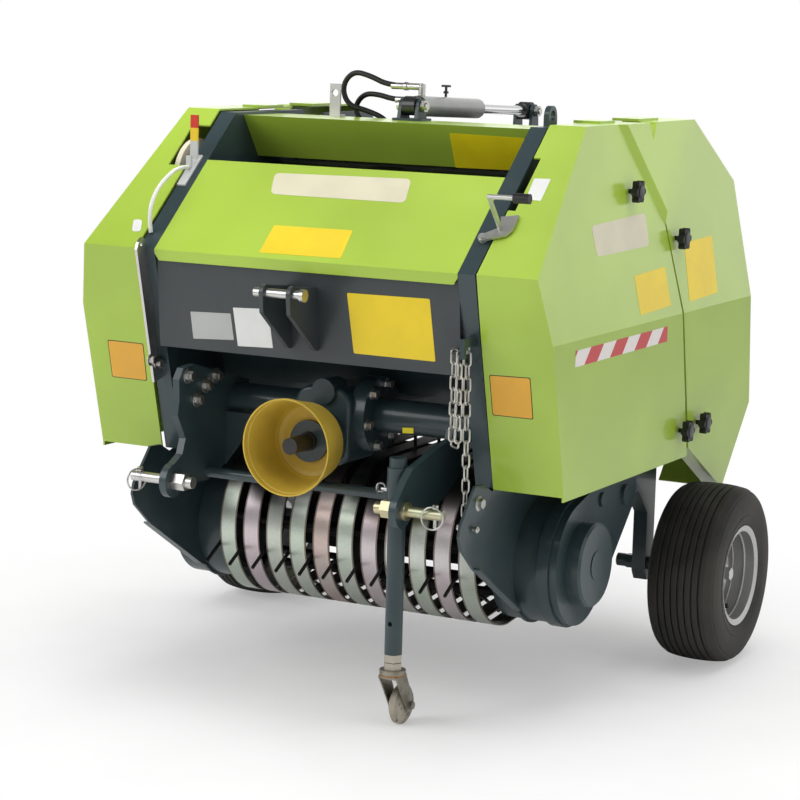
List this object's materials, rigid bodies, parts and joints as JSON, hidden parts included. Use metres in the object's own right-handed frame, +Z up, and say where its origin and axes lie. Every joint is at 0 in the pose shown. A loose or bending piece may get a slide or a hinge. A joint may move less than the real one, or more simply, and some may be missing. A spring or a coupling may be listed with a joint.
{
  "type": "mini round baler",
  "caption": "Small fixed-chamber round baler for a three-point hitch, with tined pickup, hinged tailgate and side wheels, parked on its jack.",
  "frame": {"origin": "middle of the footprint's box, on the floor", "axes": "-Y forward along the drive shaft, +X to the right seen from the front, +Z up"},
  "size_m": [1.337, 1.288, 1.3148],
  "materials": {
    "green_paint": "gloss",
    "slate_paint": "satin",
    "galvanised": "satin",
    "zinc_pins": "satin",
    "chain_steel": "satin",
    "chrome_rod": "gloss",
    "shaft_steel": "matte",
    "silver_paint": "satin",
    "barrel_paint": "satin",
    "black_plastic": "matte",
    "ochre_plastic": "matte",
    "cream_plastic": "matte",
    "white_plastic": "matte",
    "hose_rubber": "matte",
    "tyre_rubber": "matte"
  },
  "bodies": {
    "root": {"front_cover_right": "green_paint", "front_cover_left": "green_paint", "hood": "green_paint", "top_beam": "green_paint", "front_knobs": "black_plastic", "chamber_wall_right": "slate_paint", "chamber_wall_left": "slate_paint", "frame_crosspieces": "slate_paint", "gearbox": "slate_paint", "drive_tubes": "slate_paint", "hitch_arm_right": "slate_paint", "hitch_arm_left": "slate_paint", "top_link_ears": "slate_paint", "jack_sleeve": "slate_paint", "pickup_side_right": "slate_paint", "pickup_side_left": "slate_paint", "wheel_leg_right": "slate_paint", "wheel_leg_left": "slate_paint", "cylinder_front_bracket": "slate_paint", "front_plate": "slate_paint", "lifting_eye": "slate_paint", "hose_block": "slate_paint", "front_rollers": "galvanised", "pickup_bands": "galvanised", "fill_indicator": "galvanised", "twine_lever": "galvanised", "holed_upright": "galvanised", "hitch_crossbar": "galvanised", "hitch_pin_right": "zinc_pins", "hitch_pin_left": "zinc_pins", "top_link_pin": "zinc_pins", "pickup_crosspieces": "zinc_pins", "lift_chain": "chain_steel", "pickup_drive_case": "slate_paint", "pickup_drums": "slate_paint", "pto_shield": "ochre_plastic", "twine_disc": "cream_plastic", "crank_handle": "black_plastic", "hose_long": "hose_rubber", "hose_short": "hose_rubber", "twine_tube": "white_plastic"},
    "tailgate": {"rear_cover_right": "green_paint", "rear_cover_left": "green_paint", "rear_knobs": "black_plastic", "tailgate_wall_right": "slate_paint", "tailgate_wall_left": "slate_paint", "tailgate_beams": "slate_paint", "cylinder_rear_bracket": "slate_paint", "tailgate_rollers": "galvanised"},
    "cylinder_barrel": {"cylinder_barrel": "barrel_paint"},
    "cylinder_rod": {"cylinder_rod": "chrome_rod"},
    "wheel_right": {"rim_right": "silver_paint", "tyre_right": "tyre_rubber"},
    "wheel_left": {"rim_left": "silver_paint", "tyre_left": "tyre_rubber"},
    "jack_leg": {"jack_leg": "slate_paint"},
    "caster_fork": {"caster_fork": "zinc_pins"},
    "caster_wheel": {"caster_wheel": "cream_plastic"},
    "reel": {"pickup_reel": "galvanised"},
    "pto": {"pto_shaft": "shaft_steel"}
  },
  "joints": [
    {"name": "tailgate_hinge", "type": "hinge", "parent": "root", "child": "tailgate", "pos_m": [0, 0.111, 1.16], "axis": [1, 0, 0], "range_deg": [0, 45]},
    {"name": "cylinder_tilt", "type": "hinge", "parent": "root", "child": "cylinder_barrel", "pos_m": [0, -0.074, 1.243], "axis": [1, 0, 0], "range_deg": [0, 36]},
    {"name": "cylinder_rod_slide", "type": "slide", "parent": "cylinder_barrel", "child": "cylinder_rod", "axis": [0, 0.9993, -0.0386], "range_m": [-0.1, 0]},
    {"name": "wheel_right_spin", "type": "hinge", "parent": "root", "child": "wheel_right", "pos_m": [0.586, 0.333, 0.203], "axis": [1, 0, 0], "continuous": true},
    {"name": "wheel_left_spin", "type": "hinge", "parent": "root", "child": "wheel_left", "pos_m": [-0.586, 0.333, 0.203], "axis": [1, 0, 0], "continuous": true},
    {"name": "jack_slide", "type": "slide", "parent": "root", "child": "jack_leg", "axis": [0, 0, 1], "range_m": [0, 0.272]},
    {"name": "caster_swivel", "type": "hinge", "parent": "jack_leg", "child": "caster_fork", "pos_m": [0.2397, -0.554, 0.124], "axis": [0, 0, 1], "continuous": true},
    {"name": "caster_wheel_spin", "type": "hinge", "parent": "caster_fork", "child": "caster_wheel", "pos_m": [0.2397, -0.512, 0.041], "axis": [1, 0, 0], "continuous": true},
    {"name": "reel_spin", "type": "hinge", "parent": "root", "child": "reel", "pos_m": [0, -0.178, 0.305], "axis": [1, 0, 0], "continuous": true},
    {"name": "pto_spin", "type": "hinge", "parent": "root", "child": "pto", "pos_m": [0, -0.544, 0.561], "axis": [0, 1, 0], "continuous": true}
  ],
  "couplings": [
    {"joint": "cylinder_tilt", "follows": "tailgate_hinge", "ratio": 0.708},
    {"joint": "cylinder_rod_slide", "follows": "tailgate_hinge", "m_per_rad": -0.115}
  ]
}
